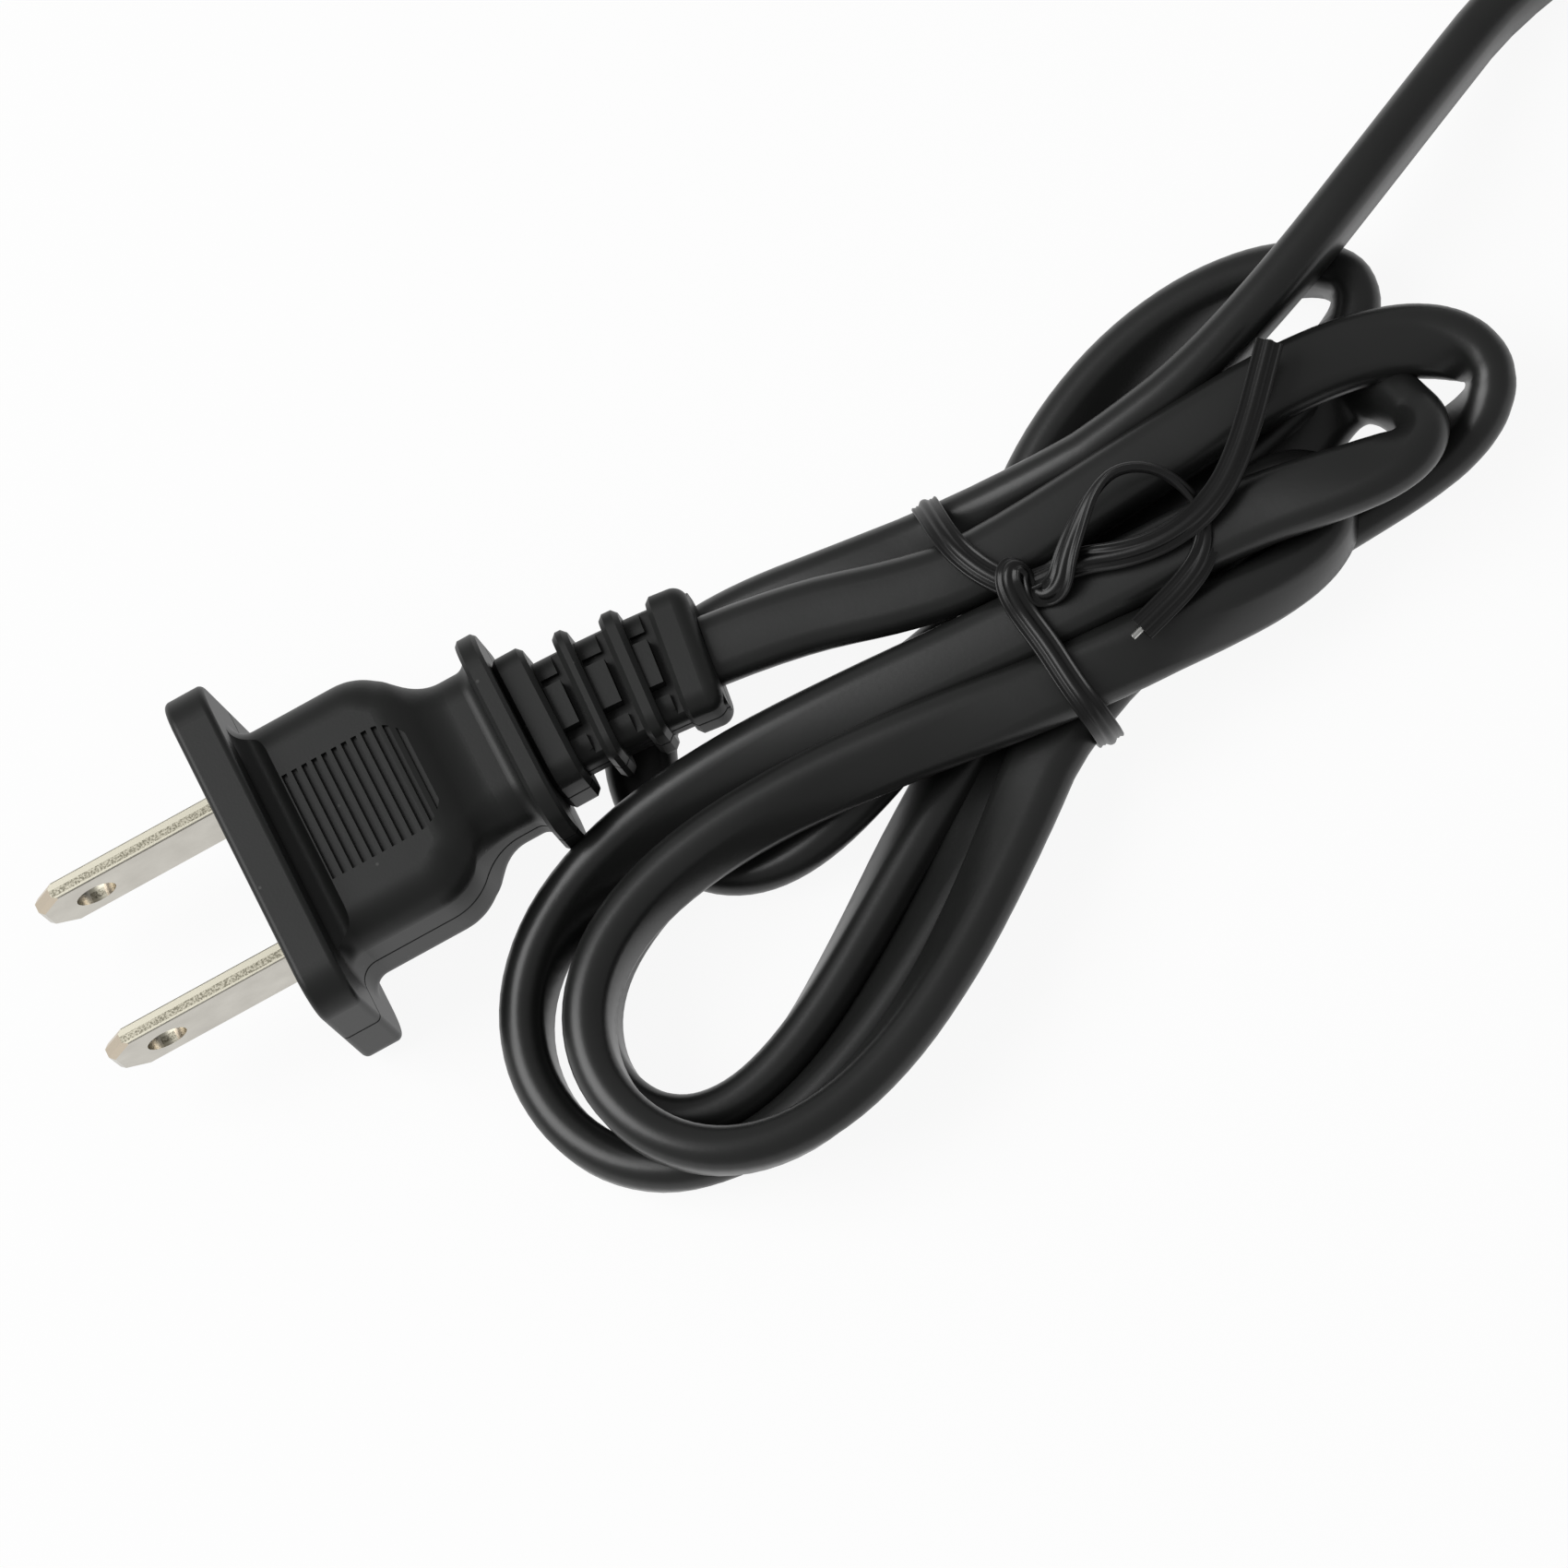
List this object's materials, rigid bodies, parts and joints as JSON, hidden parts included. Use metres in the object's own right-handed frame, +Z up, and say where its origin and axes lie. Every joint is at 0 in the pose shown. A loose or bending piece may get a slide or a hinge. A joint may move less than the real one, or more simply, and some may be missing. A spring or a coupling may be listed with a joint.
{
  "type": "power cord with two-pin plug",
  "caption": "Mains lead with a flat moulded two-blade plug and ribbed strain relief, its flat twin cord wound into a hank and held by a twist tie, with a stripped end to wire in.",
  "frame": {"origin": "centre of the plug's front face, from which the blades stand out", "axes": "+X runs back from the plug's face along the plug towards its cord, +Y across the plug from one blade to the other, +Z up from the surface that the lead lies on"},
  "size_m": [0.186, 0.066, 0.0185],
  "materials": {
    "plug_plastic": "satin black moulded vinyl",
    "holder_plastic": "plain black moulding, sealed inside",
    "blade_metal": "nickel plated, stamped edges",
    "copper": "bare copper strand",
    "tinned_copper": "tinned strand",
    "brown_insulation": "smooth brown vinyl",
    "blue_insulation": "smooth blue vinyl",
    "cord_sheath": "semi-gloss black vinyl",
    "tie_plastic": "black plastic strip with fine ridges",
    "tie_steel": "plain steel wire"
  },
  "bodies": {
    "root": {"plug_body": "plug_plastic", "blade_holder": "holder_plastic", "blade_left": "blade_metal", "blade_right": "blade_metal", "wire_left": "copper", "wire_right": "copper", "insulation_left": "brown_insulation", "insulation_right": "blue_insulation", "sheath_end": "cord_sheath", "plug_lead": "cord_sheath", "hank": "cord_sheath", "free_end": "cord_sheath", "tail_insulation_left": "brown_insulation", "tail_insulation_right": "blue_insulation", "tail_wire_left": "tinned_copper", "tail_wire_right": "tinned_copper", "twist_tie": "tie_plastic", "tie_wire": "tie_steel"}
  },
  "joints": []
}
